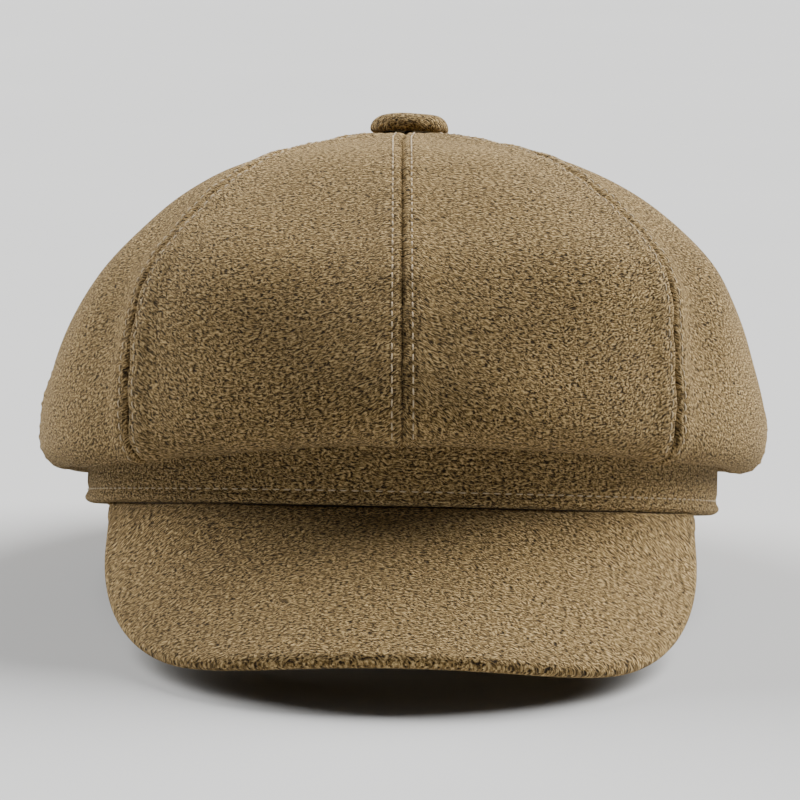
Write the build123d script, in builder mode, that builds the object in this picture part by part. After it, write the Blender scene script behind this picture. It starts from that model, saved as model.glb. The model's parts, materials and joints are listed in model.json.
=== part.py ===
"""Eight-panel newsboy cap, modelled at life size in millimetres.

Everything is drawn in the band's own frame: the head opening lies in the plane z = 0 with its centre at
the origin, the crown rises along +Z and the peak points along -Y. The last section sets the whole cap down
on a table, so that the back of the band and the two low corners of the peak touch z = 0 together.
"""

import os
from math import atan2, cos, degrees, radians, sin, sqrt

from build123d import *

# ---- driving sizes, in millimetres and degrees ---------------------------------------------------
# head opening: an oval, given by half its width and half its depth from front to back
head_half_width = 83.6
head_half_depth = 96.6

# band: layers from the head outwards
sweatband_thickness = 1.0
interlining_thickness = 0.8
shell_cloth_thickness = 1.4
layer_gap = 0.1
band_height = 30.0
band_hem_height = 8.0
sweatband_lift = 0.6
sweatband_height = 28.0

# crown: half widths across the cap, and heights above the band's lower edge
crown_height = 105.6
shoulder_half_width = 46.5
shoulder_height = 95.2
flank_half_width = 81.7
flank_height = 68.2
crown_half_width = 101.9
crown_widest_height = 23.1
roll_half_width = 94.5
roll_height = 12.0
roll_inner_height = 17.0
neck_gap = 0.4
panel_count = 8
seam_gap_angle = 0.1

# lining: a thinner dome that hangs inside the crown
lining_thickness = 0.5
lining_top_slack = 3.4
lining_side_slack = 7.0

# covered button on a thread shank that passes through an eyelet left between the panel tips
button_diameter = 22.0
button_rise = 5.4
button_rim_height = 1.6
button_cloth_thickness = 0.9
button_shell_thickness = 0.6
button_back_thickness = 0.8
button_seat_gap = 0.5
button_fit_gap = 0.1
shank_radius = 1.2
eyelet_clearance = 1.0
knot_radius = 3.6
knot_thickness = 1.4
knot_gap = 0.4
button_cloth_turn_in = 3.5
stitch_radius = 2.4
stitch_thickness = 0.6

# peak: a stiff board between two pieces of shell cloth, arched from ear to ear
peak_slope = 36.0
peak_half_width = 80.5
peak_length = 63.2
peak_side_setback = 29.0
peak_corner_half_width = 56.6
peak_corner_back_off = 17.4
peak_board_thickness = 1.6
peak_board_gap = 0.1
peak_edge_seam_gap = 0.1
peak_root_gap = 0.5
peak_root_inset = 0.6

# blank size label on the sweatband at the back
label_width = 16.0
label_height = 14.0
label_thickness = 0.4
label_lift = 8.0

# ---- sizes that follow ---------------------------------------------------------------------------
hem_inner = sweatband_thickness + layer_gap
interlining_inner = hem_inner + shell_cloth_thickness + layer_gap
band_wall_inner = interlining_inner + interlining_thickness + layer_gap
band_outer = band_wall_inner + shell_cloth_thickness
oval_ratio = (head_half_depth + band_outer) / (head_half_width + band_outer)
neck_half_width = head_half_width + band_outer + neck_gap
seam_height = band_height + layer_gap
eyelet_radius = shank_radius + eyelet_clearance
panel_angle = 360 / panel_count
button_seat_height = crown_height + button_seat_gap

pieces = {}


def keep(builder, name):
    """Labels a finished piece and keeps it until the cap is set down."""
    builder.part.label = name
    pieces[name] = builder.part


def upright_plane(angle):
    """The plane through the crown's axis at an angle round it: local x is outwards and local y is up."""
    turn = radians(angle)
    return Plane(origin=(0, 0, 0), x_dir=(cos(turn), sin(turn), 0), z_dir=(sin(turn), -cos(turn), 0))


def ring(inner, outer):
    """Draws an oval ring between two stand-offs from the head opening, the same on both axes."""
    Ellipse(head_half_width + outer, head_half_depth + outer)
    Ellipse(head_half_width + inner, head_half_depth + inner, mode=Mode.SUBTRACT)


# ---- band ----------------------------------------------------------------------------------------
# the cloth is folded under at the lower edge and returns up behind the stiffening
with BuildPart() as band_cloth:
    with BuildSketch():
        ring(band_wall_inner, band_outer)
    extrude(amount=band_height)
    with BuildSketch():
        ring(hem_inner, band_outer)
    extrude(amount=shell_cloth_thickness)
    with BuildSketch():
        ring(hem_inner, hem_inner + shell_cloth_thickness)
    extrude(amount=band_hem_height)
keep(band_cloth, "band_cloth")

with BuildPart() as band_interlining:
    with BuildSketch(Plane.XY.offset(shell_cloth_thickness + layer_gap)):
        ring(interlining_inner, interlining_inner + interlining_thickness)
    extrude(amount=band_height - shell_cloth_thickness - layer_gap)
keep(band_interlining, "band_interlining")

with BuildPart() as sweatband:
    with BuildSketch(Plane.XY.offset(sweatband_lift)):
        ring(0, sweatband_thickness)
    extrude(amount=sweatband_height)
keep(sweatband, "sweatband")

with BuildPart() as size_label:
    with BuildSketch(Plane.XY.offset(sweatband_lift + label_lift)):
        ring(-layer_gap - label_thickness, -layer_gap)
        with Locations((0, head_half_depth)):
            Rectangle(label_width, head_half_depth, mode=Mode.INTERSECT)
    extrude(amount=label_height)
keep(size_label, "size_label")


# ---- crown and lining panels ---------------------------------------------------------------------
def crown_wall():
    """Section of a crown panel: over the shoulder, round the roll and up behind it to the band's seam."""
    dome = Spline(
        (eyelet_radius, crown_height),
        (shoulder_half_width, shoulder_height),
        (flank_half_width, flank_height),
        (crown_half_width, crown_widest_height),
        tangents=((1, 0), (0, -1)),
    )
    roll = Spline(
        dome @ 1,
        (roll_half_width, roll_height),
        (neck_half_width, roll_inner_height),
        tangents=((0, -1), (0, 1)),
    )
    neck = Line(roll @ 1, (neck_half_width, seam_height))
    Line(neck @ 1, (head_half_width + interlining_inner, seam_height))
    offset(amount=shell_cloth_thickness, side=Side.RIGHT)


def lining_wall():
    """Section of a lining panel: a slack dome from the eyelet down to the band's top seam."""
    Spline(
        (eyelet_radius, crown_height - shell_cloth_thickness - lining_top_slack),
        (shoulder_half_width - lining_side_slack, shoulder_height - lining_side_slack),
        (flank_half_width - lining_side_slack, flank_height),
        (head_half_width + hem_inner + lining_thickness, seam_height + shell_cloth_thickness + layer_gap),
        tangents=((1, 0), (0, -1)),
    )
    offset(amount=lining_thickness, side=Side.RIGHT)


def wedge(wall, start_angle):
    """One panel: its wall turned through a panel's share of the circle, then drawn out to the oval."""
    with BuildPart() as panel:
        with BuildSketch(upright_plane(start_angle + seam_gap_angle / 2)):
            with BuildLine():
                wall()
            make_face()
        revolve(axis=Axis.Z, revolution_arc=panel_angle - seam_gap_angle)
        scale(by=(1, oval_ratio, 1))
    return panel


# names run counter-clockwise from the front seam; right is +X
panel_places = (
    "front_right",
    "side_front_right",
    "side_back_right",
    "back_right",
    "back_left",
    "side_back_left",
    "side_front_left",
    "front_left",
)
front_seam_angle = -90
for number, place in enumerate(panel_places):
    angle = front_seam_angle + number * panel_angle
    keep(wedge(crown_wall, angle), f"crown_{place}")
    keep(wedge(lining_wall, angle), f"lining_{place}")


# ---- covered button ------------------------------------------------------------------------------
button_radius = button_diameter / 2
button_base = button_seat_height + button_cloth_thickness + button_fit_gap
shell_outer_inset = button_cloth_thickness + button_fit_gap
shell_inner_inset = shell_outer_inset + button_shell_thickness
button_back_radius = button_radius - shell_inner_inset - button_fit_gap
button_back_top = button_base + button_back_thickness


def dome_half(inset, base):
    """Draws half the domed button at a stand-off inside its outer face, from the axis down to a base."""
    crest = button_seat_height + button_rise - inset
    edge = Spline(
        (0, crest),
        (button_radius - inset, button_seat_height + button_rim_height),
        tangents=((1, 0), (0, -1)),
    )
    Polyline(edge @ 1, (button_radius - inset, base), (0, base), edge @ 0)


with BuildPart() as button_cloth:
    with BuildSketch(upright_plane(0)):
        with BuildLine():
            dome_half(0, button_seat_height)
        make_face()
        with BuildLine():
            dome_half(button_cloth_thickness, button_seat_height + button_cloth_thickness)
        make_face(mode=Mode.SUBTRACT)
    revolve(axis=Axis.Z)
    with BuildSketch(Plane.XY.offset(button_seat_height)):
        Circle(button_radius - button_cloth_turn_in)
    extrude(amount=button_cloth_thickness, mode=Mode.SUBTRACT)
keep(button_cloth, "button_cloth")

with BuildPart() as button_shell:
    with BuildSketch(upright_plane(0)):
        with BuildLine():
            dome_half(shell_outer_inset, button_base)
        make_face()
        with BuildLine():
            dome_half(shell_inner_inset, button_base)
        make_face(mode=Mode.SUBTRACT)
    revolve(axis=Axis.Z)
keep(button_shell, "button_shell")

with BuildPart() as button_back:
    with BuildSketch(Plane.XY.offset(button_base)):
        Circle(button_back_radius)
        Circle(shank_radius + button_fit_gap, mode=Mode.SUBTRACT)
    extrude(amount=button_back_thickness)
keep(button_back, "button_back")

# the thread passes through the back plate and the eyelet, with a knot at each end
with BuildPart() as button_shank:
    knot_top = crown_height - shell_cloth_thickness - knot_gap
    stitch_base = button_back_top + button_fit_gap
    with BuildSketch(Plane.XY.offset(knot_top - knot_thickness)):
        Circle(knot_radius)
    extrude(amount=knot_thickness)
    with BuildSketch(Plane.XY.offset(knot_top)):
        Circle(shank_radius)
    extrude(amount=stitch_base - knot_top)
    with BuildSketch(Plane.XY.offset(stitch_base)):
        Circle(stitch_radius)
    extrude(amount=stitch_thickness)
keep(button_shank, "button_shank")

# ---- peak ----------------------------------------------------------------------------------------
# the root follows an oval just inside the band's outer face; the arch is the part of a cylinder, sloping down
# from the band, that meets this oval at the front seam and at both ears
root_half_width = head_half_width + band_outer - peak_root_inset
root_half_depth = head_half_depth + band_outer - peak_root_inset
ear_setback = root_half_depth * (1 - sqrt(1 - (peak_half_width / root_half_width) ** 2))
ear_drop = ear_setback * sin(radians(peak_slope))
arch_radius = (peak_half_width**2 + ear_drop**2) / (2 * ear_drop)
slope_direction = (0, -cos(radians(peak_slope)), -sin(radians(peak_slope)))
slope_normal = (0, -sin(radians(peak_slope)), cos(radians(peak_slope)))
root_centre = (0, -root_half_depth, -peak_root_gap)
peak_section = Plane(origin=root_centre, x_dir=(1, 0, 0), z_dir=slope_direction)
peak_plan = Plane(origin=root_centre, x_dir=(1, 0, 0), z_dir=slope_normal)

board_space = peak_board_thickness + 2 * peak_board_gap
peak_thickness = 2 * shell_cloth_thickness + board_space
half_thickness = (peak_thickness - peak_edge_seam_gap) / 2


def peak_outline(inset):
    """Draws the peak laid flat: straight sides from the ears, round both corners and across the front."""
    side = peak_half_width - inset
    corner_inset = inset * sqrt(0.5)
    corner = peak_corner_half_width - corner_inset
    corner_reach = peak_length - peak_corner_back_off - corner_inset
    edge = Spline(
        (0, inset - peak_length),
        (corner, -corner_reach),
        (side, peak_side_setback),
        tangents=((1, 0), (0, 1)),
    )
    Polyline(edge @ 1, (side, ear_setback), (0, ear_setback))
    mirror(about=Plane.YZ)


def peak_layer(depth, thickness, inset):
    """A sheet of the peak, by its depth below the upper face, its thickness and its inset all round."""
    with BuildPart() as layer:
        with BuildSketch(peak_section.offset(-root_half_depth)):
            with Locations((0, -arch_radius)):
                Circle(arch_radius - depth)
                Circle(arch_radius - depth - thickness, mode=Mode.SUBTRACT)
                Rectangle(
                    2 * arch_radius,
                    arch_radius,
                    align=(Align.CENTER, Align.MIN),
                    mode=Mode.INTERSECT,
                )
        extrude(amount=root_half_depth + peak_length)
        with BuildSketch(peak_plan):
            with BuildLine():
                peak_outline(inset)
            make_face()
        extrude(amount=arch_radius, both=True, mode=Mode.INTERSECT)
        with BuildSketch():
            Ellipse(root_half_width + inset, root_half_depth + inset)
        extrude(amount=2 * arch_radius, both=True, mode=Mode.SUBTRACT)
    return layer


board_pocket = peak_layer(shell_cloth_thickness, board_space, shell_cloth_thickness)

with BuildPart() as peak_top_cloth:
    add(peak_layer(0, half_thickness, 0))
    add(board_pocket, mode=Mode.SUBTRACT)
keep(peak_top_cloth, "peak_top_cloth")

with BuildPart() as peak_under_cloth:
    add(peak_layer(peak_thickness - half_thickness, half_thickness, 0))
    add(board_pocket, mode=Mode.SUBTRACT)
keep(peak_under_cloth, "peak_under_cloth")

peak_board = peak_layer(
    shell_cloth_thickness + peak_board_gap,
    peak_board_thickness,
    shell_cloth_thickness + peak_board_gap,
)
keep(peak_board, "peak_board")

# ---- setting the cap down ------------------------------------------------------------------------
# the cap tips forward-up about X until the band's back and the peak's low corners stand level
tilt = 0
for _ in range(8):
    band_low = pieces["band_cloth"].rotate(Axis.X, -tilt).bounding_box()
    peak_low = pieces["peak_under_cloth"].rotate(Axis.X, -tilt).bounding_box()
    tilt += degrees(atan2(band_low.min.Z - peak_low.min.Z, band_low.max.Y - peak_low.min.Y))

stood = {name: piece.rotate(Axis.X, -tilt) for name, piece in pieces.items()}
boxes = [piece.bounding_box() for piece in stood.values()]
back = max(box.max.Y for box in boxes)
front = min(box.min.Y for box in boxes)
floor = min(box.min.Z for box in boxes)
os.makedirs("parts", exist_ok=True)
for name, piece in stood.items():
    placed = piece.translate((0, -(front + back) / 2, -floor))
    placed.label = name
    export_step(placed, f"parts/{name}.step")
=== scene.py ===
"""Newsboy cap in pebbled wool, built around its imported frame, in metres.

The cloth pieces are worked out in the band's own frame, where the head opening lies in z = 0, the crown
rises along +Z and the peak points along -Y. Each one is then set into the table's frame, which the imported
record gives through its head opening.
"""

import json
import math

import bpy
import numpy as np
from mathutils import Matrix, Vector


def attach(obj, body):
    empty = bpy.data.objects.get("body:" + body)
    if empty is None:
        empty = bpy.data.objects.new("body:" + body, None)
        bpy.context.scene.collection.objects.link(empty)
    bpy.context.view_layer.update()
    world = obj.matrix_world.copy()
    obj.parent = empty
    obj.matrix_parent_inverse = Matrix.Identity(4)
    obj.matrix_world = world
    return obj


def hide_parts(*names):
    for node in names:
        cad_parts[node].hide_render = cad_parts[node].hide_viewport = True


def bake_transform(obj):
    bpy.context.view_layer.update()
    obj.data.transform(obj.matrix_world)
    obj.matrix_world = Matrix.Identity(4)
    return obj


bl_info = {
    "name": "Newsboy Cap",
    "version": (1, 0, 0),
    "blender": (4, 5, 0),
    "location": "View3D > Sidebar > Cap",
    "description": "Sews the cloth pieces, seams and stitches of a newsboy cap round its frame",
    "category": "Add Mesh",
}

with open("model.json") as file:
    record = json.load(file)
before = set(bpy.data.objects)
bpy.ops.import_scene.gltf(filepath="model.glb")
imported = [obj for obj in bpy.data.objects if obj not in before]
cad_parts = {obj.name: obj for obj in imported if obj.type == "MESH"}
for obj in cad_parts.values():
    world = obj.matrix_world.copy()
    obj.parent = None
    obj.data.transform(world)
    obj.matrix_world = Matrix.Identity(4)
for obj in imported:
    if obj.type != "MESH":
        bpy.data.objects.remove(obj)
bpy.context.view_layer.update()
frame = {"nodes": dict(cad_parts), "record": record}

# going round from the front seam towards +X, as the frame's nodes are named
PANEL_PLACES = (
    "front_right",
    "side_front_right",
    "side_back_right",
    "back_right",
    "back_left",
    "side_back_left",
    "side_front_left",
    "front_left",
)
PANEL_ANGLE = 2 * math.pi / len(PANEL_PLACES)


# ---- the band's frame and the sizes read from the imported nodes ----
def band_frame():
    """The matrix that sets a point of the band's own frame into the table's frame."""
    mounts = frame["record"]["mounts"]
    opening = next(mount for mount in mounts if mount["name"] == "head_opening")
    up = -Vector(opening["axis"]).normalized()
    right = Vector((1, 0, 0))
    matrix = Matrix((right, up.cross(right), up)).transposed().to_4x4()
    matrix.translation = Vector(opening["pos_m"])
    return matrix


SET_DOWN = band_frame()


def reach(*nodes):
    """Lowest and highest corner of some nodes, measured in the band's own frame."""
    back = np.array(SET_DOWN.inverted())
    corners = []
    for node in nodes:
        mesh = frame["nodes"][node].data
        points = np.empty(len(mesh.vertices) * 3)
        mesh.vertices.foreach_get("co", points)
        points = points.reshape(-1, 3) @ back[:3, :3].T + back[:3, 3]
        corners += [points.min(0), points.max(0)]
    return np.min(corners, 0), np.max(corners, 0)


CROWN = reach(*(f"crown_{place}" for place in PANEL_PLACES))
BAND = reach("band_cloth")
SWEATBAND = reach("sweatband")
PEAK = reach("peak_top_cloth")
BUTTON = reach("button_cloth")
LABEL = reach("size_label")
OVAL = BAND[1][1] / BAND[1][0]


# ---- what a user may change ----
def length(name, default, description):
    return bpy.props.FloatProperty(
        name=name, description=description, default=float(default), min=0, unit="LENGTH", precision=4
    )


def colour(name, default, description):
    return bpy.props.FloatVectorProperty(
        name=name, description=description, default=default, size=3, min=0, max=1, subtype="COLOR"
    )


class CapCloth(bpy.types.PropertyGroup):
    """Colours and weave of the cap's cloths and threads."""

    wool: colour("Wool", (0.31, 0.197, 0.070), "Face of the shell cloth")
    # painted shade: the dark that the weave's hollows are painted with; the random worn mottle darkens
    # towards it too
    wool_shade_and_wear: colour("Wool gaps", (0.022, 0.012, 0.0045), "Hollows between the pebbles of the weave")
    # painted highlight: the light that the tops of the weave's pebbles and fibres are painted with
    wool_highlight: colour("Wool highlight", (0.72, 0.51, 0.235), "Loose fibres that catch the light")
    thread: colour("Topstitching", (0.66, 0.49, 0.26), "Thread of the rows beside each seam")
    lining: colour("Lining", (0.055, 0.036, 0.020), "Satin inside the crown")
    tape: colour("Sweatband", (0.075, 0.050, 0.028), "Twill tape that touches the head")
    label: colour("Label", (0.72, 0.67, 0.57), "Blank tape label")
    pebble_width: length("Pebble width", 0.0017, "Spacing of the weave's hollows along a row")
    pebble_height: length("Pebble height", 0.0011, "Spacing of the weave's rows")
    thickness: length("Shell thickness", 0.0012, "Thickness of the shell cloth")


class CapShape(bpy.types.PropertyGroup):
    """Sizes of the sewn shapes."""

    seam_ridge: length("Seam ridge", 0.0006, "How far the allowances lift the cloth beside a seam")
    seam_groove: length("Seam groove", 0.0010, "How deep a seam line sinks between its panels")
    row_offset: length("Row offset", 0.0028, "From a seam to the topstitching beside it")
    stitch_pitch: length("Stitch pitch", 0.0031, "From one stitch to the next")
    stitch_length: length("Stitch length", 0.0023, "Length of thread that shows")
    thread_width: length("Thread width", 0.00045, "Thickness of the topstitching thread")
    puff: length("Panel puff", 0.0012, "How far a panel swells between its seams")
    dent: length("Side dent", 0.0030, "How far a side panel falls in beside its seam")
    band_row: length("Band row", 0.0038, "From the band's lower edge to its topstitching")
    peak_slope: bpy.props.FloatProperty(
        name="Peak slope", description="Fall of the peak", default=math.radians(36), subtype="ANGLE"
    )
    peak_roundness: length("Peak edge", 0.0026, "Width over which the peak's edge rounds over")


# ---- shader maths ----
class Value:
    """A number in a material. Arithmetic on it adds Math nodes."""

    def __init__(self, finish, socket):
        self.finish, self.socket = finish, socket

    def maths(self, operation, *terms):
        return self.finish.add("ShaderNodeMath", {"operation": operation}, dict(enumerate(terms)))

    def __add__(self, other):
        return self.maths("ADD", self, other)

    def __sub__(self, other):
        return self.maths("SUBTRACT", self, other)

    def __rsub__(self, other):
        return self.maths("SUBTRACT", other, self)

    def __mul__(self, other):
        return self.maths("MULTIPLY", self, other)

    def __truediv__(self, other):
        return self.maths("DIVIDE", self, other)

    __radd__ = __add__

    def sine(self):
        return self.maths("SINE", self)

    def smooth(self, low, high):
        """0 below low, 1 above high, and an even rise between."""
        return self.finish.add(
            "ShaderNodeMapRange",
            {"interpolation_type": "SMOOTHSTEP"},
            {"Value": self, "From Min": low, "From Max": high},
        )


class Finish:
    """A material being made."""

    def __init__(self, name):
        self.material = bpy.data.materials.new(name)
        self.material.use_nodes = True
        self.nodes = self.material.node_tree.nodes
        self.links = self.material.node_tree.links
        self.nodes.clear()

    def add(self, kind, settings=None, sockets=None, out=0):
        """A new node: its settings first, then its sockets' values or links. Gives one of its outputs."""
        node = self.nodes.new(kind)
        for key, value in (settings or {}).items():
            setattr(node, key, value)
        for key, value in (sockets or {}).items():
            if isinstance(value, Value):
                self.links.new(value.socket, node.inputs[key])
            else:
                node.inputs[key].default_value = value
        return Value(self, node.outputs[out])

    def parts(self, vector):
        """How far across and how far along a vector reaches."""
        return [self.add("ShaderNodeSeparateXYZ", {}, {"Vector": vector}, out) for out in (0, 1)]

    def blend(self, share, low, high):
        """A colour between two colours."""
        return self.add("ShaderNodeMix", {"data_type": "RGBA"}, {0: share, 6: rgba(low), 7: rgba(high)}, 2)

    def speckle(self, vector, scale, detail=2.0, out="Factor"):
        """Cloud noise at so many waves to the metre."""
        out = 0 if out == "Factor" else 1
        settings = {"noise_dimensions": "3D"}
        return self.add(
            "ShaderNodeTexNoise", settings, {"Vector": vector, "Scale": scale, "Detail": detail}, out
        )

    def close(self, base, roughness, height=None, depth=0.0, **fixed):
        """Joins the surface shader to the output, with its plain numbers on its own sockets."""
        sockets = {"Base Color": base, "Roughness": roughness}
        if height is not None:
            sockets["Normal"] = self.add("ShaderNodeBump", {}, {"Height": height, "Distance": depth})
        sockets |= {name.replace("_", " "): value for name, value in fixed.items()}
        shader = self.add("ShaderNodeBsdfPrincipled", {}, sockets)
        output = self.nodes.new("ShaderNodeOutputMaterial")
        self.links.new(shader.socket, output.inputs["Surface"])
        return self.material


def rgba(tone):
    return tone if isinstance(tone, Value) else (*tone, 1.0)


def toned(tone, times):
    """A colour made so many times as bright, and no brighter than white."""
    return tuple(min(1.0, times * part) for part in tone)


# ---- finishes ----
WEAVE_DEPTH = 0.0011


def pebbled_wool(name, cloth):
    """Crepe-like wool: staggered pebbles in wavering rows, slanted fibres on top, with painted shade in the
    pits between them and a painted highlight on their tops.
    """
    finish = Finish(name)
    cut = finish.add("ShaderNodeUVMap", {"uv_map": "cut"})
    waver = finish.speckle(cut, 190.0, 2.0, "Color")
    middle = finish.add("ShaderNodeVectorMath", {"operation": "SUBTRACT"}, {0: waver, 1: (0.5, 0.5, 0.5)})
    sway = (cloth.pebble_width * 2.0, cloth.pebble_height * 2.0, 0)
    bent = finish.add("ShaderNodeVectorMath", {"operation": "MULTIPLY_ADD"}, {0: middle, 1: sway, 2: cut})
    across, along = finish.parts(bent)
    rows = {"X": across / cloth.pebble_width, "Y": along / cloth.pebble_height}
    rows = finish.add("ShaderNodeCombineXYZ", {}, rows)
    distance = finish.add(
        "ShaderNodeTexVoronoi",
        {"voronoi_dimensions": "2D", "feature": "F1"},
        {"Vector": rows, "Scale": 1.0, "Randomness": 0.85},
    )
    pebble = 1 - distance * 1.15
    ridge = finish.speckle(rows, 1.5, 1.5).smooth(0.30, 0.70)
    laid = finish.add("ShaderNodeCombineXYZ", {}, {"X": across * 0.5 + along * 0.2, "Y": along})
    streak = finish.speckle(laid, 2500.0, 2.0).smooth(0.30, 0.70)
    fibre = finish.speckle(cut, 5200.0, 2.0)
    worn = finish.speckle(cut, 26.0, 3.0)
    height = pebble * 0.26 + ridge * 0.30 + streak * 0.52 + fibre * 0.24
    # painted shade: the weave is painted dark where its height is low, in the hollows between the pebbles
    tone = finish.blend(height.smooth(0.34, 0.74), cloth.wool_shade_and_wear, cloth.wool)
    # painted highlight: the weave is painted lighter where its height is highest, on the pebble tops and
    # fibres
    tone = finish.blend(height.smooth(0.62, 1.00), tone, cloth.wool_highlight)
    tone = finish.blend(worn.smooth(0.3, 0.75) * 0.14, tone, cloth.wool_shade_and_wear)
    return finish.close(
        tone,
        0.80 + fibre * 0.2,
        height,
        WEAVE_DEPTH,
        Sheen_Weight=0.16,
        Sheen_Roughness=0.45,
        Sheen_Tint=(1.0, 0.80, 0.50, 1.0),
        Specular_IOR_Level=0.15,
    )


def sewing_thread(name, tone):
    """Two-ply thread: fine slanted twist and a little unevenness."""
    finish = Finish(name)
    place = finish.add("ShaderNodeTexCoord", {}, {}, 3)
    ply = finish.speckle(place, 2600.0, 2.0)
    patch = finish.speckle(place, 90.0, 1.0)
    dark = toned(tone, 0.55)
    base = finish.blend((ply * 0.7 + patch * 0.3).smooth(0.3, 0.7), dark, tone)
    return finish.close(base, 0.62 + ply * 0.2, ply, 0.00012, Specular_IOR_Level=0.3)


def satin(name, tone):
    """Lining satin: long fine floats that give a soft streak, and slight creasing, both painted lighter where
    they rise as a painted sheen.
    """
    finish = Finish(name)
    cut = finish.add("ShaderNodeUVMap", {"uv_map": "cut"})
    across, along = finish.parts(cut)
    stretched = finish.add("ShaderNodeCombineXYZ", {}, {"X": across, "Y": along * 0.12})
    floats = finish.speckle(stretched, 2200.0, 2.0)
    crease = finish.speckle(cut, 60.0, 2.0)
    # painted sheen: the satin is painted lighter where its floats and creases rise
    light = toned(tone, 1.9)
    base = finish.blend((floats * 0.6 + crease * 0.4).smooth(0.35, 0.7), tone, light)
    height = floats * 0.3 + crease
    return finish.close(base, 0.30 + floats * 0.2, height, 0.0006, Specular_IOR_Level=0.5)


def twill_tape(name, tone, rib=0.0007):
    """Woven tape with a slanted rib, painted lighter on its raised ribs and cords as a painted highlight."""
    finish = Finish(name)
    cut = finish.add("ShaderNodeUVMap", {"uv_map": "cut"})
    across, along = finish.parts(cut)
    ribs = ((across + along) * (2 * math.pi / rib)).sine() * 0.5 + 0.5
    cords = ((across - along) * (2 * math.pi / (rib * 0.6))).sine() * 0.5 + 0.5
    fuzz = finish.speckle(cut, 1400.0, 2.0)
    height = ribs * 0.7 + cords * 0.25 + fuzz * 0.3
    # painted highlight: the tape is painted lighter on the tops of its ribs, cords and fuzz
    light = toned(tone, 1.7)
    base = finish.blend(height.smooth(0.2, 1.1), tone, light)
    return finish.close(base, 0.8 + fuzz * 0.15, height, 0.00025, Specular_IOR_Level=0.2)


def hidden_finish(name, tone, metallic, roughness, grain):
    """Plain make-up of a piece that is closed in: its grain, dust and handling marks."""
    finish = Finish(name)
    place = finish.add("ShaderNodeTexCoord", {}, {}, 3)
    fine = finish.speckle(place, grain, 3.0)
    broad = finish.speckle(place, grain * 0.05, 2.0)
    dark = toned(tone, 0.7)
    base = finish.blend((fine * 0.5 + broad * 0.5).smooth(0.3, 0.7), dark, tone)
    return finish.close(base, roughness + fine * 0.15, fine, 0.0001, Metallic=metallic)


# ---- mesh helpers ----
def set_down(points):
    """Points of the band's own frame, moved into the table's frame."""
    matrix = np.array(SET_DOWN)
    return np.asarray(points) @ matrix[:3, :3].T + matrix[:3, 3]


def new_object(name, points, faces, finish, uvs=None):
    """A smooth-shaded mesh object in the table's frame, with a uv in metres for each corner's point."""
    mesh = bpy.data.meshes.new(name)
    mesh.from_pydata(set_down(points.reshape(-1, 3)).tolist(), [], faces)
    if uvs is not None:
        layer = mesh.uv_layers.new(name="cut")
        corners = np.empty(len(mesh.loops), int)
        mesh.loops.foreach_get("vertex_index", corners)
        layer.data.foreach_set("uv", np.asarray(uvs, float).reshape(-1, 2)[corners].ravel())
    mesh.polygons.foreach_set("use_smooth", [True] * len(mesh.polygons))
    mesh.materials.append(finish)
    mesh.update()
    piece = bpy.data.objects.new(name, mesh)
    bpy.context.scene.collection.objects.link(piece)
    return piece


def grid_faces(rows, columns, wrap=False, flip=False):
    """Quads of a grid of points, row by row.

    wrap joins the last column to the first, and flip turns the face over.
    """
    faces = []
    for row in range(rows - 1):
        for column in range(columns if wrap else columns - 1):
            a = row * columns + column
            b = row * columns + (column + 1) % columns
            quad = (a, b, b + columns, a + columns)
            faces.append(quad[::-1] if flip else quad)
    return faces


def thicken(piece, thickness):
    """Gives an open cloth face its thickness, for good."""
    modifier = piece.modifiers.new("thickness", "SOLIDIFY")
    modifier.thickness = thickness
    modifier.offset = -1.0
    modifier.use_even_offset = False
    apply_modifiers(piece)


def apply_modifiers(piece):
    """Turns a piece's modifiers into mesh."""
    graph = bpy.context.evaluated_depsgraph_get()
    done = bpy.data.meshes.new_from_object(piece.evaluated_get(graph), depsgraph=graph)
    piece.modifiers.clear()
    piece.data = done


def curve_through(points, first=None, last=None, count=1500):
    """A smooth line through a few points, as count points evenly spaced along it."""
    points = np.array(points, float)
    step = np.linalg.norm(np.diff(points, axis=0), axis=1)
    at = np.concatenate([[0], np.cumsum(np.sqrt(step))])
    slope = np.gradient(points, at, axis=0)
    speed = step[[0, -1]] / np.diff(at)[[0, -1]]
    if first is not None:
        slope[0] = np.array(first) * speed[0]
    if last is not None:
        slope[-1] = np.array(last) * speed[1]
    where = np.linspace(0, at[-1], count * 4)
    span = np.clip(np.searchsorted(at, where, "right") - 1, 0, len(at) - 2)
    width = np.diff(at)[span][:, None]
    t = (where[:, None] - at[span][:, None]) / width
    line = (
        (2 * t**3 - 3 * t**2 + 1) * points[span]
        + (t**3 - 2 * t**2 + t) * width * slope[span]
        + (3 * t**2 - 2 * t**3) * points[span + 1]
        + (t**3 - t**2) * width * slope[span + 1]
    )
    return even(line, count)


def run_along(line):
    """Distance of each point of a line from its start, measured along it."""
    return np.concatenate([[0], np.cumsum(np.linalg.norm(np.diff(line, axis=0), axis=1))])


def read_at(where, run, values):
    """Values known at the distances in run, read at other distances."""
    return np.stack([np.interp(where, run, values[:, axis]) for axis in range(values.shape[1])], 1)


def even(line, count):
    """The same line with count evenly spaced points."""
    run = run_along(line)
    return read_at(np.linspace(0, run[-1], count), run, line)


def bell(value, middle, width):
    return np.exp(-(((value - middle) / width) ** 2))


def ramp(value, low, high):
    """0 below low, 1 above high, smooth between."""
    share = np.clip((value - low) / (high - low), 0, 1)
    return share * share * (3 - 2 * share)


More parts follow.
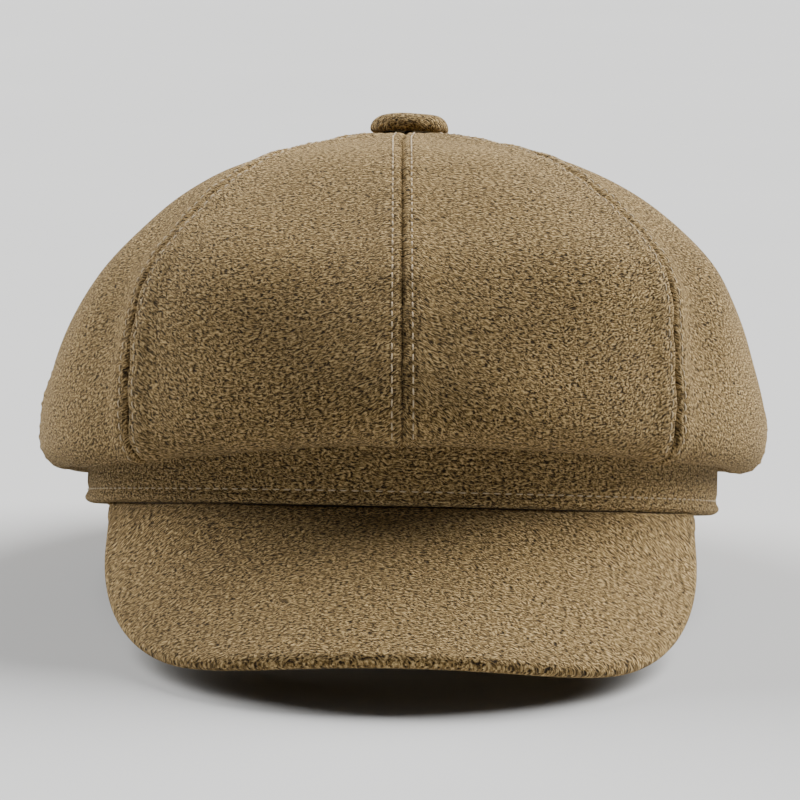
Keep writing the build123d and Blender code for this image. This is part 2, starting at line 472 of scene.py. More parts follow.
def sew(name, line, normals, settings, finish, body):
    """A row of stitches along a line of evenly close points: each a short thread that dives at both ends."""
    run = run_along(line)
    sides, rings = 8, 7
    points, faces = [], []
    chance = np.random.default_rng(len(name))
    for start in np.arange(settings.stitch_pitch / 2, run[-1] - settings.stitch_pitch, settings.stitch_pitch):
        size = settings.stitch_length * chance.uniform(0.92, 1.06)
        radius = settings.thread_width / 2 * chance.uniform(0.9, 1.1)
        skew = chance.uniform(-0.12, 0.12) * settings.thread_width
        share = np.linspace(0, 1, rings)
        where = start + size * share
        centre, up = read_at(where, run, line), read_at(where, run, normals)
        up /= np.linalg.norm(up, axis=1)[:, None]
        ahead = np.gradient(centre, axis=0)
        ahead /= np.linalg.norm(ahead, axis=1)[:, None]
        side = np.cross(ahead, up)
        arch = np.sin(np.pi * share)[:, None]
        centre = centre + up * radius * (1.9 * arch**0.7 - 1.0) + side * skew * (share[:, None] * 2 - 1)
        thin = radius * (0.55 + 0.45 * arch**0.5)
        first = len(points) * rings * sides
        turn = np.linspace(0, 2 * np.pi, sides, endpoint=False)
        ring = (
            centre[:, None]
            + side[:, None] * (thin * np.cos(turn))[:, :, None]
            + up[:, None] * (thin * np.sin(turn))[:, :, None]
        )
        points.append(ring.reshape(-1, 3))
        quads = grid_faces(rings, sides, wrap=True)
        caps = [tuple(range(sides))[::-1], tuple(range((rings - 1) * sides, rings * sides))]
        faces += [tuple(first + corner for corner in face) for face in quads + caps]
    piece = new_object(name, np.concatenate(points), faces, finish)
    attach(piece, body)
    return piece


def cap_settings():
    return bpy.context.scene.cap_shape, bpy.context.scene.cap_cloth


def finish_named(name, make, *values):
    """A finish that several pieces share, made the first time it is asked for."""
    return bpy.data.materials.get(name) or make(name, *values)


# ---- crown ----
# outer face of a crown panel as shares of the crown's half width and height, from the eyelet down over the
# shoulder and flank, round the roll and up behind it to the band's top seam
CROWN_LINE = (
    (0.022, 0.994),
    (0.138, 0.988),
    (0.241, 0.965),
    (0.442, 0.907),
    (0.598, 0.817),
    (0.705, 0.731),
    (0.837, 0.604),
    (0.919, 0.474),
    (0.983, 0.303),
    (0.996, 0.217),
    (0.989, 0.151),
    (0.962, 0.116),
    (0.926, 0.107),
    (0.892, 0.126),
    (0.879, 0.177),
    (0.875, 0.232),
    (0.875, 0.286),
)
SQUARE_SHOULDER = 0.14
SQUARE_HEIGHTS = (0.20, 0.75)
ROLL_LIFT = 0.0042
LEAN = 0.019
FULLER_RIGHT = 0.035
FRONT = -math.pi / 2
CROWN_GRID = (136, 72)  # rows down, columns across
PUCKER_PITCH = 0.0125
GROOVE_WIDTH = 0.0008
DENTED_PANELS = (1, 6)  # the side panels next to the front ones, each dented beside its front seam
BEHIND_BAND = (0.022, 0.012)  # before the panel's end, where its own relief fades out


def crown_point(angle, half_width, height):
    """A point of the crown: fuller at the shoulders between the axes, lifted at the front roll, and set a
    little out of true, as a soft crown stands on its band."""
    half, top = CROWN[1][0], CROWN[1][2]
    square = SQUARE_SHOULDER * ramp(height / top, *SQUARE_HEIGHTS) * (1 - np.cos(4 * angle)) / 2
    fuller = FULLER_RIGHT * np.cos(angle) * ramp(height / top, 0.35, 0.68)
    radius = half_width * (1 + square + fuller)
    turn = (angle - FRONT + np.pi) % (2 * np.pi) - np.pi
    lift = ROLL_LIFT * bell(turn, 0, 0.62) * (1 - ramp(height, 0.016, 0.046)) * ramp(half_width, 0.05, 0.09)
    x, y = radius * np.cos(angle), OVAL * radius * np.sin(angle)
    free = np.maximum(ramp(height / top, 0.28, 0.42), ramp(half_width / half, 0.88, 0.93))
    free = free * ramp(half_width, 0.004, 0.024)
    return np.stack([x - LEAN * height * free, y, height + lift + LEAN * x * free], -1)


def drift(points, seed, size):
    """Slow unevenness in space, the same on both sides of a seam, between about -1 and 1."""
    chance = np.random.default_rng(seed)
    total = 0
    for _ in range(9):
        way = chance.normal(size=3)
        wave = 2 * np.pi / (size * chance.uniform(0.7, 1.6)) * way / np.linalg.norm(way)
        total = total + np.sin(points @ wave + chance.uniform(0, 2 * np.pi))
    return total / 5


def face_normals(points):
    """Outward normal at each point of a grid whose rows run down and columns run counter-clockwise."""
    down = np.gradient(points, axis=0)
    across = np.gradient(points, axis=1)
    normals = np.cross(down, across)
    return normals / np.linalg.norm(normals, axis=-1)[..., None]


def panel_grid(number, line, rows, columns, make_point):
    """A panel's smooth grid: points, share across, width of each row and run down its middle."""
    even_line = even(line, rows)
    share = np.linspace(0, 1, columns)
    share = 0.42 * share + 0.58 * (1 - np.cos(np.pi * share)) / 2
    angle = FRONT + (number + share) * PANEL_ANGLE
    points = make_point(*np.broadcast_arrays(angle[None, :], even_line[:, :1], even_line[:, 1:]))
    width = np.linalg.norm(np.diff(points, axis=1), axis=2).sum(1)
    middle = points[:, columns // 2]
    run = run_along(middle)
    return points, share, width, run


def spread(array_a, array_b):
    return np.broadcast_arrays(array_a[:, None], array_b[None, :])


def crown_grid(number, shape):
    """A crown panel's outer face with its seams, stitch lines, puffs and hollows."""
    half, top = CROWN[1][0], CROWN[1][2]
    line = curve_through([(half * across, top * up) for across, up in CROWN_LINE], (1, 0), (0, 1))
    points, share, width, run = panel_grid(number, line, *CROWN_GRID, crown_point)
    normals = face_normals(points)
    wide, across = spread(width, share)
    low_side = across < 0.5
    gap = np.minimum(across, 1 - across) * wide
    seam = np.where(low_side, number, (number + 1) % len(PANEL_PLACES))
    down = np.broadcast_to(run[:, None], gap.shape)
    open_share = ramp(down, 0.004, 0.020)
    height = points[..., 2]
    phase = seam * 2.4
    puckers = 0.00026 * np.sin(down * 2 * np.pi / PUCKER_PITCH + phase) * np.exp(-gap / 0.007)
    drawn_in = np.sin(down * 2 * np.pi / shape.stitch_pitch + phase) * bell(gap, 0.002, 0.003)
    puckers = puckers + 0.00012 * drawn_in
    strong = np.where(seam % 2 == 1, 1.5, 1.0)
    ridge = shape.seam_ridge * strong * (1 - ramp(gap, 0.0040, 0.0095))
    groove = -shape.seam_groove * np.exp(-((gap / GROOVE_WIDTH) ** 2))
    groove = groove - 0.00022 * bell(gap, shape.row_offset, 0.0006)
    puff = shape.puff * np.sin(np.pi * across) * ramp(height, 0.01, 0.03) * ramp(down, 0.03, 0.07)
    right, left = DENTED_PANELS
    dented = {right: low_side, left: ~low_side}.get(number, False)
    dent = shape.dent * bell(gap, 0.014, 0.010)
    dent = dent * ramp(height, 0.022, 0.050) * (1 - ramp(height, 0.070, 0.090))
    total = (ridge + groove + puckers) * open_share + puff - np.where(dented, dent, 0)
    total = total + (0.0007 * drift(points, 5, 0.075) + 0.00032 * drift(points, 6, 0.028)) * open_share
    behind = ramp(down, *(run[-1] - before for before in BEHIND_BAND))
    total = total * (1 - behind)
    return points + normals * total[..., None], share, width, run


def cut_uvs(share, width, run, number, rise=7.0):
    """Each point's place in the flat cut, in metres. The weave's rows rise towards both seams."""
    wide, across = spread(width, share - 0.5)
    aside = wide * across
    down = np.broadcast_to(run[:, None], aside.shape)
    return np.stack([aside + 0.137 * number, -down - rise * aside**2 + 0.091 * number], -1)


def panel_piece(name, node, number, grid, finish, thickness, slot, held, rests_on, outer):
    """One sewn panel from its grid, which is its outer or inner face: cut, thickened and set on the cap's
    body.
    """
    points, share, width, run = grid
    rows, columns = points.shape[:2]
    uvs = cut_uvs(share, width, run, number)
    piece = new_object(name, points, grid_faces(rows, columns, flip=outer), finish, uvs)
    thicken(piece, thickness)
    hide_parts(node)
    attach(piece, "cap")
    box_area = float(width.max() * run[-1])
    return piece


class CAP_OT_crown(bpy.types.Operator):
    """Sew the eight shell panels of the crown"""

    bl_idname = "cap.add_crown"
    bl_label = "Crown"

    def execute(self, context):
        shape, cloth = cap_settings()
        finish = finish_named("pebbled_wool", pebbled_wool, cloth)
        for number, place in enumerate(PANEL_PLACES):
            grid, names = crown_grid(number, shape), (f"shell_{place}", f"crown_{place}")
            how = (cloth.thickness, "wool_shell", "draped", ["band_cloth"])
            panel_piece(*names, number, grid, finish, *how, outer=True)
        return {"FINISHED"}


# ---- lining ----
# inner face of a lining panel as shares of the crown's half width and height
LINING_LINE = ((0.024, 0.950), (0.385, 0.832), (0.728, 0.643), (0.828, 0.450), (0.834, 0.262))
LINING_THICKNESS = 0.0005
LINING_GRID = (90, 48)  # rows down, columns across


def lining_point(angle, half_width, height):
    return np.stack([half_width * np.cos(angle), OVAL * half_width * np.sin(angle), height], -1)


def lining_grid(number):
    """A slack satin panel: soft folds that deepen towards the band, and a seam turned outwards."""
    half, top = CROWN[1][0], CROWN[1][2]
    line = curve_through([(half * across, top * up) for across, up in LINING_LINE], (1, 0), (0, -1))
    points, share, width, run = panel_grid(number, line, *LINING_GRID, lining_point)
    normals = face_normals(points)
    wide, across = spread(width, share)
    gap = np.minimum(across, 1 - across) * wide
    down = np.broadcast_to(run[:, None], gap.shape)
    folds = np.sin(across * 2 * np.pi * 3 + number) * np.sin(np.pi * across)
    slack = 0.0012 * folds * ramp(down, 0.03, 0.09) * (1 - ramp(down, run[-1] - 0.012, run[-1] - 0.001))
    seam = 0.0012 * np.exp(-((gap / 0.0012) ** 2)) * ramp(down, 0.004, 0.02)
    uneven = 0.0010 * drift(points, 15, 0.06) * (1 - ramp(down, run[-1] - 0.012, run[-1] - 0.001))
    total = slack + seam + uneven
    return points + normals * total[..., None], share, width, run


class CAP_OT_lining(bpy.types.Operator):
    """Sew the eight satin panels of the lining"""

    bl_idname = "cap.add_lining"
    bl_label = "Lining"

    def execute(self, context):
        _, cloth = cap_settings()
        finish = finish_named("lining_satin", satin, cloth.lining)
        for number, place in enumerate(PANEL_PLACES):
            grid, names = lining_grid(number), (f"satin_{place}", f"lining_{place}")
            how = (LINING_THICKNESS, "lining_satin", "hung", [f"crown_{place}"])
            panel_piece(*names, number, grid, finish, *how, outer=False)
        return {"FINISHED"}


# ---- band and sweatband ----
def oval_sweep(line, columns, wobble=None):
    """A line of (half width, height) swept round the oval, with its uvs. wobble moves points outwards."""
    angle = np.linspace(0, 2 * np.pi, columns + 1) + np.pi / 2
    depth_extra = BAND[1][1] - BAND[1][0]
    across = line[:, :1]
    x = across * np.cos(angle)
    y = (across + depth_extra) * np.sin(angle)
    points = np.stack([x, y, np.broadcast_to(line[:, 1:], x.shape)], -1)
    if wobble is not None:
        outward = np.stack([np.cos(angle), np.sin(angle), np.zeros_like(angle)], -1)
        points = points + outward[None] * wobble(points)[..., None]
    loop = points[len(line) // 2]
    round_run = run_along(loop)
    run = run_along(line)
    uvs = np.stack(np.broadcast_arrays(round_run[None, :], -run[:, None]), -1)
    return points, uvs, round_run[-1], run[-1]


def swept_piece(name, node, line, columns, finish, thickness, slot, held, rests_on, wobble):
    """A cloth strip sewn into a ring: its line swept round the oval, closed at the back and thickened.

    A line that runs from the top down faces outwards, and one that runs from the bottom up faces inwards.
    """
    points, uvs, around, wide = oval_sweep(line, columns, wobble)
    piece = new_object(name, points, grid_faces(len(line), columns + 1, flip=True), finish, uvs)
    thicken(piece, thickness)
    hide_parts(node)
    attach(piece, "cap")
    return piece


BAND_STEPS = 420
FOLD_RISE = 0.0019
HEM_INSET = 0.0038
HEM_HEIGHT = 0.008
OUTSIDE_ROWS, FOLD_ROWS, HEM_ROWS = 30, 9, 5
TAPE_THICKNESS, TAPE_ROWS, TAPE_STEPS = 0.0008, 34, 360
LABEL_THICKNESS, LABEL_ROWS, LABEL_COLUMNS = 0.0003, 20, 22


def band_wobble(shape):
    """Small waves of the band's cloth, the sunk stitch row and the closing seam at the back."""

    def wobble(points):
        x, y, height = points[..., 0], points[..., 1], points[..., 2]
        outside = ramp(np.hypot(x, y / OVAL), BAND[1][0] - 0.0010, BAND[1][0] - 0.0004)
        row = -0.00055 * bell(height, shape.band_row, 0.0011)
        puff = 0.0005 * bell(height, shape.band_row * 0.4, 0.0016)
        seam = -0.0006 * np.exp(-((x / 0.0008) ** 2)) * (y > 0)
        waves = 0.00022 * drift(points, 22, 0.022) + 0.0003 * drift(points, 23, 0.06)
        return (row + puff + seam + waves) * outside

    return wobble


def band_line():
    """The band cloth's outer face, from its top edge down, round the fold and up the hem inside."""
    outer, top = BAND[1][0], BAND[1][2]
    turn = np.linspace(0, np.pi, FOLD_ROWS)[1:-1]
    middle = outer - HEM_INSET / 2
    fold = np.stack([middle + HEM_INSET / 2 * np.cos(turn), FOLD_RISE * (1 - np.sin(turn))], 1)
    outside = np.stack([np.full(OUTSIDE_ROWS, outer), np.linspace(top, FOLD_RISE, OUTSIDE_ROWS)], 1)
    inner = outer - HEM_INSET
    inside = np.stack([np.full(HEM_ROWS, inner), np.linspace(FOLD_RISE, HEM_HEIGHT, HEM_ROWS)], 1)
    return np.concatenate([outside, fold, inside])


class CAP_OT_band(bpy.types.Operator):
    """Fold the shell cloth of the band round its stiffening"""

    bl_idname = "cap.add_band"
    bl_label = "Band"

    def execute(self, context):
        shape, cloth = cap_settings()
        finish = finish_named("pebbled_wool", pebbled_wool, cloth)
        how = (cloth.thickness, "wool_shell", "folded", ["band_interlining"], band_wobble(shape))
        swept_piece("shell_band", "band_cloth", band_line(), BAND_STEPS, finish, *how)
        return {"FINISHED"}


class CAP_OT_sweatband(bpy.types.Operator):
    """Set the twill sweatband and its blank label inside the band"""

    bl_idname = "cap.add_sweatband"
    bl_label = "Sweatband"

    def execute(self, context):
        _, cloth = cap_settings()
        tape = finish_named("sweatband_twill", twill_tape, cloth.tape)
        low, high = SWEATBAND[0][2], SWEATBAND[1][2]
        inner = SWEATBAND[1][0] - 0.0009
        line = np.stack([np.full(TAPE_ROWS, inner), np.linspace(low, high, TAPE_ROWS)], 1)

        def wobble(points):
            edge = bell(points[..., 2], high, 0.004) + bell(points[..., 2], low, 0.004)
            return 0.00018 * drift(points, 31, 0.016) * (1 - 0.6 * edge)

        how = (TAPE_THICKNESS, "sweatband_twill", "stretched", ["band_cloth"], wobble)
        swept_piece("tape_sweatband", "sweatband", line, TAPE_STEPS, tape, *how)
        self.add_label(cloth)
        return {"FINISHED"}

    def add_label(self, cloth):
        """A blank woven label, its corners just lifting from the tape."""
        finish = finish_named("label_tape", twill_tape, cloth.label, 0.0004)
        half = LABEL[1][0]
        x = np.linspace(-half, half, LABEL_COLUMNS)[None, :]
        height = np.linspace(LABEL[0][2], LABEL[1][2], LABEL_ROWS)[:, None]
        x, height = np.broadcast_arrays(x, height)
        middle = (LABEL[0][2] + LABEL[1][2]) / 2
        corner = (np.abs(x) / half) ** 4 * (np.abs(height - middle) / (middle - LABEL[0][2])) ** 4
        wide, deep = SWEATBAND[1][0] - 0.0012, SWEATBAND[1][1] - 0.0012
        y = deep * np.sqrt(1 - (x / wide) ** 2) - 0.0006 * corner
        points = np.stack([x, y, height], -1)
        faces = grid_faces(LABEL_ROWS, LABEL_COLUMNS)
        piece = new_object("tape_label", points, faces, finish, np.stack([x, height], -1))
        thicken(piece, LABEL_THICKNESS)
        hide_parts("size_label")
        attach(piece, "cap")


# ---- button ----
# the cloth's outer face, as shares of the button's radius and height, from its crest over the rim and under
BUTTON_LINE = (
    (0.000, 1.000),
    (0.300, 0.990),
    (0.600, 0.945),
    (0.820, 0.820),
    (0.955, 0.570),
    (1.000, 0.300),
    (0.970, 0.080),
    (0.880, 0.000),
    (0.700, 0.010),
)
BUTTON_ROWS, BUTTON_COLUMNS, BUTTON_THICKNESS = 40, 96, 0.0008
CREST_HOLE = 0.004  # share of the radius left open at the crest


class CAP_OT_button(bpy.types.Operator):
    """Cover the button on the crown's top"""

    bl_idname = "cap.add_button"
    bl_label = "Button"

    def execute(self, context):
        _, cloth = cap_settings()
        finish = finish_named("pebbled_wool", pebbled_wool, cloth)
        radius, low, high = BUTTON[1][0], BUTTON[0][2], BUTTON[1][2]
        line = [(radius * across, low + (high - low) * up) for across, up in BUTTON_LINE]
        line = even(curve_through(line, (1, 0), (-1, 0)), BUTTON_ROWS)
        line[0, 0] = radius * CREST_HOLE
        angle = np.linspace(0, 2 * np.pi, BUTTON_COLUMNS, endpoint=False)
        across, height = line[:, :1], line[:, 1:]
        gather = 0.02 * np.sin(angle * 14 + 0.7 * np.sin(angle * 3))
        gather = gather * ramp(1 - (height - low) / (high - low), 0.45, 1)
        across = across * (1 + gather)
        x, y = across * np.cos(angle), across * np.sin(angle)
        points = np.stack([x, y, np.broadcast_to(height, x.shape)], -1)
        points[..., 2] += 0.00012 * drift(points, 41, 0.008)
        run = run_along(line)[:, None]
        uvs = np.stack([run * np.cos(angle) + 0.61, run * np.sin(angle) + 0.33], -1)
        faces = grid_faces(len(line), BUTTON_COLUMNS, wrap=True, flip=True)
        piece = new_object("shell_button", points, faces, finish, uvs)
        thicken(piece, BUTTON_THICKNESS)
        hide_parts("button_cloth")
        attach(piece, "button")
        return {"FINISHED"}


# ---- peak ----
# half the peak's outline laid flat, as shares of its half width and length: front middle, corner, ear
OUTLINE = ((0.000, 1.000), (0.703, 0.712), (1.000, -0.479))
ROOT_INSET = 0.0006
ROOT_GAP = 0.0005
TUCK = 0.0026
STUFFED_THICKNESS = 0.0046
UNDER_BAND = -0.0003  # the height that the peak's cloth keeps below where it meets the band


class Peak:
    """The peak's arched surface, worked out from the band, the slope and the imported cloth's reach."""

    def __init__(self, shape):
        self.slope, self.round = shape.peak_slope, shape.peak_roundness
        self.wide, self.deep = BAND[1][0] - ROOT_INSET, BAND[1][1] - ROOT_INSET
        self.half = PEAK[1][0]
        self.length = (-PEAK[0][1] - self.deep) / math.cos(self.slope)
        setback = self.deep * (1 - math.sqrt(1 - (self.half / self.wide) ** 2))
        drop = setback * math.sin(self.slope)
        self.arch = (self.half**2 + drop**2) / (2 * drop)
        self.thickness = STUFFED_THICKNESS

    def place(self, flat):
        """Points of the laid-flat peak (across, down the slope) set on its arched upper face."""
        turn = np.arcsin(np.clip(flat[..., 0] / self.arch, -1, 1))
        fall = self.arch * (1 - np.cos(turn))
        sine, cosine = math.sin(self.slope), math.cos(self.slope)
        y = -self.deep - flat[..., 1] * cosine + fall * sine
        z = -ROOT_GAP - flat[..., 1] * sine - fall * cosine
        normal = np.stack([np.sin(turn), -sine * np.cos(turn), cosine * np.cos(turn)], -1)
        return np.stack([flat[..., 0], y, z], -1), normal

    def root(self, across, inset=0.0):
        """How far down the slope the root oval lies at each distance across."""
        wide, deep = self.wide - inset, self.deep - inset
        y = -deep * np.sqrt(np.clip(1 - (across / wide) ** 2, 0, 1))
        fall = self.arch - np.sqrt(self.arch**2 - across**2)
        return (-self.deep + fall * math.sin(self.slope) - y) / math.cos(self.slope)

    def outline(self, count):
        """The outer edge from the left ear round the front to the right ear."""
        half = [(self.half * across, self.length * down) for across, down in OUTLINE]
        side = curve_through(half, (1, 0), (0, -1), 800)
        down = np.linspace(side[-1, 1], self.root(np.array(self.half), TUCK * 0.5), 60)[1:]
        side = np.concatenate([side, np.stack([np.full(59, self.half), down], 1)])
        whole = np.concatenate([side[::-1] * (-1, 1), side[1:]])
        return even(whole, count)

    def grid(self, columns, rows, edge_rows, inset, set_back):
        """Laid-flat grid from the root, or set back from it, to the outline, closer where the edge rounds."""
        edge = self.outline(columns)
        ahead = np.gradient(edge, axis=0)
        ahead /= np.linalg.norm(ahead, axis=1)[:, None]
        inward = np.stack([ahead[:, 1], -ahead[:, 0]], 1)
        edge = edge + inward * inset
        across = np.linspace(edge[0, 0], edge[-1, 0], columns)
        root = np.stack([across, self.root(across, TUCK)], 1)
        room = np.linalg.norm(edge - root, axis=1)
        root = root + (edge - root) * np.minimum(set_back / np.maximum(room, 1e-6), 0.4)[:, None]
        room = np.linalg.norm(edge - root, axis=1)
        width = np.minimum(self.round, 0.45 * room)
        turn = np.linspace(np.pi / 2, 0, edge_rows)
        steps = 1 - np.cos(turn)
        rim = edge[None] + inward[None] * (steps[:, None] * width[None, :])[..., None]
        share = np.linspace(0, 1, rows)[:-1, None, None]
        body = root[None] + (rim[0] - root)[None] * share
        gap = np.linalg.norm(body - edge[None], axis=2)
        gap = np.concatenate([np.maximum(gap, width[None]), steps[:, None] * width[None, :]])
        return np.concatenate([body, rim]), gap, width

    def faces_of(self, columns=190, rows=64, edge_rows=10, inset=0.0, set_back=0.0, taper=0.34):
        """Upper and lower face of the stuffed peak on one laid-flat grid, and their outward normals."""
        flat, gap, width = self.grid(columns, rows, edge_rows, inset, set_back)
        top, normal = self.place(flat)
        root_gap = np.linalg.norm(flat - flat[:1], axis=2)
        band_gap = flat[..., 1] - self.root(flat[..., 0])
        at_band, _ = self.place(np.stack([flat[..., 0], self.root(flat[..., 0])], -1))
        lift = np.clip(UNDER_BAND - at_band[..., 2], 0, None) * (1 - ramp(band_gap, 0.0, 0.020))
        top[..., 2] = np.minimum(top[..., 2] + lift, np.where(band_gap < 0, UNDER_BAND, 1.0))
        rounded = np.sqrt(np.clip(1 - (1 - np.clip(gap / width[None], 0, 1)) ** 2, 0, 1))
        half = self.thickness / 2
        thick = taper + (1 - taper) * ramp(root_gap, 0.002, 0.014)
        middle = top - normal * half
        upper = middle + normal * (half * rounded)[..., None]
        lower = middle + normal * (half * rounded * (1 - 2 * thick))[..., None]
        return flat, gap, upper, lower, normal


PEAK_PARTS = (
    ("shell_peak_top", "peak_top_cloth", 0),
    ("shell_peak_under", "peak_under_cloth", 1),
)
BOARD_THICKNESS, BOARD_ROUNDING = 0.0016, 0.0006
BOARD_INSET, BOARD_SET_BACK, BOARD_DROP = 0.0034, 0.016, 0.0015
BOARD_EAR_COLUMNS = 22  # left off at each ear, where the two cloths close on each other


def across_hinge(piece):
    """Bakes a piece's placement into its mesh."""
    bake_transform(piece)


class CAP_OT_peak(bpy.types.Operator):
    """Cover the peak's board above and below"""

    bl_idname = "cap.add_peak"
    bl_label = "Peak"

    def execute(self, context):
        shape, cloth = cap_settings()
        finish = finish_named("pebbled_wool", pebbled_wool, cloth)
        peak = Peak(shape)
        flat, gap, upper, lower, normal = peak.faces_of()
        for name, node, under in PEAK_PARTS:
            points = (lower if under else upper).copy()
            way = -normal if under else normal
            uneven = 0.00035 * drift(points, 51 + under, 0.045) + 0.00014 * drift(points, 53, 0.016)
            pucker = 0.00022 * np.sin(flat[..., 0] * 2 * np.pi / 0.0083) * bell(gap, 0.0045, 0.003)
            points = points + way * ((uneven + pucker) * ramp(gap, 0, 0.004))[..., None]
            rows, columns = points.shape[:2]
            uvs = np.stack([flat[..., 0] + 0.4 * under, -flat[..., 1] + 0.7], -1)
            faces = grid_faces(rows, columns, flip=not under)
            piece = new_object(name, points, faces, finish, uvs)
            thicken(piece, cloth.thickness * 0.85)
            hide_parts(node)
            across_hinge(piece)
        self.add_board(peak)
        return {"FINISHED"}

    def add_board(self, peak):
        """The stiff board between the peak's cloths, stopped short of its ears."""
        finish = finish_named("board", hidden_finish, (0.36, 0.29, 0.20), 0.0, 0.8, 900.0)
        peak.thickness, peak.round = BOARD_THICKNESS, BOARD_ROUNDING
        _, _, upper, lower, normal = peak.faces_of(
            150, 30, 5, inset=BOARD_INSET, set_back=BOARD_SET_BACK, taper=1.0
        )
        shift = -normal * BOARD_DROP
        short_of_ears = slice(BOARD_EAR_COLUMNS, -BOARD_EAR_COLUMNS)
        upper, lower = (upper + shift)[:, short_of_ears], (lower + shift)[:, short_of_ears]
        rows, columns = upper.shape[:2]
        points = np.concatenate([upper, lower])
        first = rows * columns
        faces = grid_faces(rows, columns, flip=True)
        faces += [tuple(first + corner for corner in face) for face in grid_faces(rows, columns)]
        back = range(columns)
        left = range(0, first, columns)[::-1]
        right = range(columns - 1, first, columns)
        for edge in (back, left, right):
            faces += [(a, b, first + b, first + a) for a, b in zip(edge, edge[1:])]
        piece = new_object("card_board", points, faces, finish)
        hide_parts("peak_board")
        across_hinge(piece)


# ---- topstitching ----
FIRST_STITCH = 0.0125  # down a panel from the eyelet
LAST_STITCH = 0.024  # before a panel's end
BAND_ROW_STEPS = 1800
BAND_ROW_SINK = 0.00005


def line_beside_seam(grid, distance, from_start):
    """A line of a panel's grid that keeps its distance from one of its seams, with the normals along it."""
    points, share, width, run = grid
    normals = face_normals(points)
    place = distance / width
    place = place if from_start else 1 - place
    line, ups = [], []
    for row in range(len(width)):
        if run[row] < FIRST_STITCH or points[row, 0, 2] < 0.0:
            continue
        line.append([np.interp(place[row], share, points[row, :, axis]) for axis in range(3)])
        ups.append([np.interp(place[row], share, normals[row, :, axis]) for axis in range(3)])
    return even_pair(np.array(line), np.array(ups))


def even_pair(line, ups, step=0.0003):
    """A line and the normals along it at an even close step."""
    run = run_along(line)
    where = np.linspace(0, run[-1], int(run[-1] / step))
    return read_at(where, run, line), read_at(where, run, ups)


class CAP_OT_stitching(bpy.types.Operator):
    """Sew the topstitching beside the crown's seams and along the band"""

    bl_idname = "cap.add_stitching"
    bl_label = "Topstitching"

    def execute(self, context):
        shape, cloth = cap_settings()
        thread = finish_named("thread", sewing_thread, cloth.thread)
        for number, place in enumerate(PANEL_PLACES):
            points, share, width, run = crown_grid(number, shape)
            keep = run < run[-1] - LAST_STITCH
            grid = points[keep], share, width[keep], run[keep]
            for side, from_start in (("first", True), ("second", False)):
                line, ups = line_beside_seam(grid, shape.row_offset, from_start)
                sew(f"stitches_{place}_{side}", line, ups, shape, thread, "cap")
        points, *_ = oval_sweep(band_line(), BAND_ROW_STEPS, band_wobble(shape))
        heights = points[:OUTSIDE_ROWS, 0, 2]
        row = int(np.argmin(np.abs(heights - shape.band_row)))
        line = points[row]
        ups = line * (1, 1, 0) / np.linalg.norm(line * (1, 1, 0), axis=1)[:, None]
        line = line - ups * BAND_ROW_SINK
        sew("stitches_band", *even_pair(line, ups), shape, thread, "cap")
        return {"FINISHED"}


# ---- pieces carried over from the frame ----
class CAP_OT_carried(bpy.types.Operator):
    """Give the stiffening, the button's metal and its sewing thread their finishes"""

    bl_idname = "cap.finish_carried"
    bl_label = "Stiffening, button metal and shank"

    def execute(self, context):
        finishes = {
            "band_interlining": ("stiffening", hidden_finish, (0.62, 0.58, 0.50), 0.0, 0.85, 1200.0),
            "button_shell": ("tinplate", hidden_finish, (0.60, 0.60, 0.58), 1.0, 0.32, 700.0),
            "button_back": ("tinplate", hidden_finish, (0.60, 0.60, 0.58), 1.0, 0.32, 700.0),
            "button_shank": ("shank_thread", sewing_thread, (0.11, 0.075, 0.04)),
        }
        for node, finish in finishes.items():
            mesh = frame["nodes"][node].data
            mesh.materials.clear()
            mesh.materials.append(finish_named(*finish))
        return {"FINISHED"}


# ---- stage ----
LENS = 191.7
EYE = (-0.0011, -1.2, -0.0090)
AIM = (-0.0011, 0.0, 0.0308)
ROLL = math.radians(1.15)
LIGHTS = (
    ("light_right", (1.00, 0.65, 0.90), 8.5),
    ("light_left", (-1.00, 0.75, 0.80), 5.0),
)
LIGHT_SOFTNESS = math.radians(50)
SKY_STRENGTH = 0.06
FLOOR_REACH = 6.0
FLOOR_TONES = ((0.52, 0.52, 0.515), (0.55, 0.55, 0.545))
SENSOR_WIDTH = 36.0


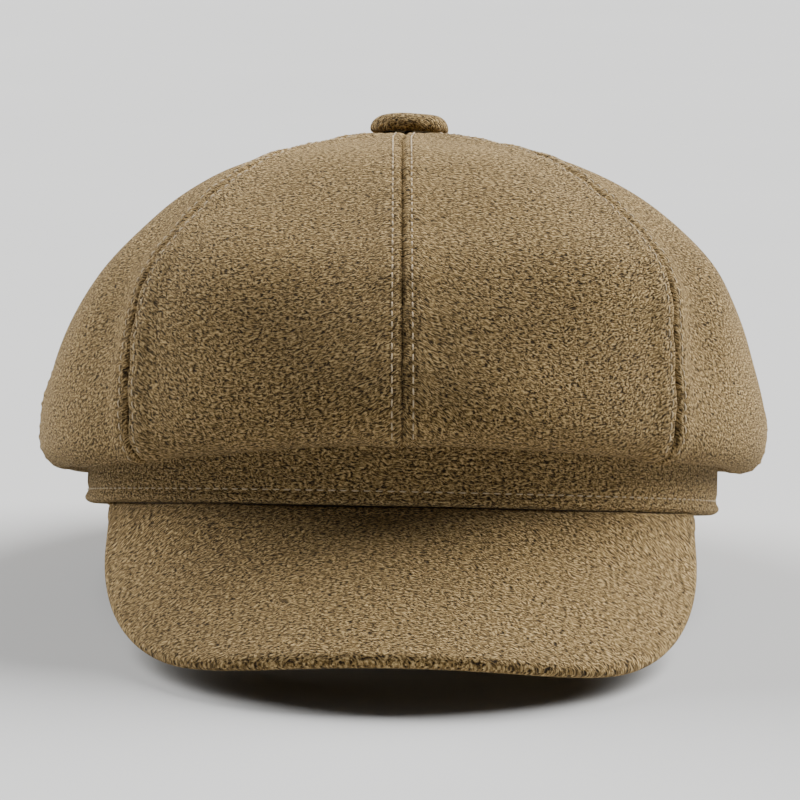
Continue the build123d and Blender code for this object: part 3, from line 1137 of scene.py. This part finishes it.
class CAP_OT_stage(bpy.types.Operator):
    """Lay the floor, set soft lights and stand the camera"""

    bl_idname = "cap.add_stage"
    bl_label = "Floor, lights and camera"

    def execute(self, context):
        floor = bpy.data.meshes.new("floor")
        corners = [(FLOOR_REACH * x, FLOOR_REACH * y, 0) for x, y in ((-1, -1), (1, -1), (1, 1), (-1, 1))]
        floor.from_pydata(corners, [], [(0, 1, 2, 3)])
        finish = Finish("pale_floor")
        place = finish.add("ShaderNodeTexCoord", {}, {}, 3)
        mottle = finish.speckle(place, 6.0, 2.0)
        floor.materials.append(finish.close(finish.blend(mottle, *FLOOR_TONES), 0.9))
        stage = bpy.data.objects.new("floor", floor)
        context.scene.collection.objects.link(stage)
        for name, place, strength in LIGHTS:
            data = bpy.data.lights.new(name, "SUN")
            data.energy, data.angle = strength, LIGHT_SOFTNESS
            lamp = bpy.data.objects.new(name, data)
            lamp.rotation_euler = (-Vector(place)).to_track_quat("-Z", "Y").to_euler()
            context.scene.collection.objects.link(lamp)
        world = bpy.data.worlds.new("studio")
        context.scene.world = world
        world.use_nodes = True
        sky = world.node_tree.nodes["Background"]
        sky.inputs["Color"].default_value = (1.0, 1.0, 1.0, 1.0)
        sky.inputs["Strength"].default_value = SKY_STRENGTH
        self.stand_camera(context)
        return {"FINISHED"}

    def stand_camera(self, context):
        data = bpy.data.cameras.new("camera")
        data.lens, data.sensor_width = LENS, SENSOR_WIDTH
        camera = bpy.data.objects.new("camera", data)
        eye, aim = SET_DOWN @ Vector(EYE), SET_DOWN @ Vector(AIM)
        look = (aim - eye).to_track_quat("-Z", "Y").to_matrix()
        camera.matrix_world = Matrix.Translation(eye) @ (look @ Matrix.Rotation(ROLL, 3, "Z")).to_4x4()
        context.scene.collection.objects.link(camera)
        context.scene.camera = camera


# ---- add-on ----
OPERATORS = (
    CAP_OT_lining,
    CAP_OT_band,
    CAP_OT_sweatband,
    CAP_OT_crown,
    CAP_OT_peak,
    CAP_OT_button,
    CAP_OT_stitching,
    CAP_OT_carried,
    CAP_OT_stage,
)


class CAP_PT_pieces(bpy.types.Panel):
    """Lists every piece of the cap"""

    bl_idname = "CAP_PT_pieces"
    bl_label = "Newsboy cap"
    bl_space_type = "VIEW_3D"
    bl_region_type = "UI"
    bl_category = "Cap"

    def draw(self, context):
        for settings in (context.scene.cap_shape, context.scene.cap_cloth):
            for key in settings.__annotations__:
                self.layout.prop(settings, key)
        for operator in OPERATORS:
            self.layout.operator(operator.bl_idname)


CLASSES = (CapCloth, CapShape, *OPERATORS, CAP_PT_pieces)


def register():
    for each in CLASSES:
        bpy.utils.register_class(each)
    bpy.types.Scene.cap_cloth = bpy.props.PointerProperty(type=CapCloth)
    bpy.types.Scene.cap_shape = bpy.props.PointerProperty(type=CapShape)


def unregister():
    del bpy.types.Scene.cap_shape
    del bpy.types.Scene.cap_cloth
    for each in reversed(CLASSES):
        bpy.utils.unregister_class(each)


def main():
    register()
    for operator in OPERATORS:
        group, name = operator.bl_idname.split(".")
        getattr(getattr(bpy.ops, group), name)()


if __name__ == "__main__":
    main()
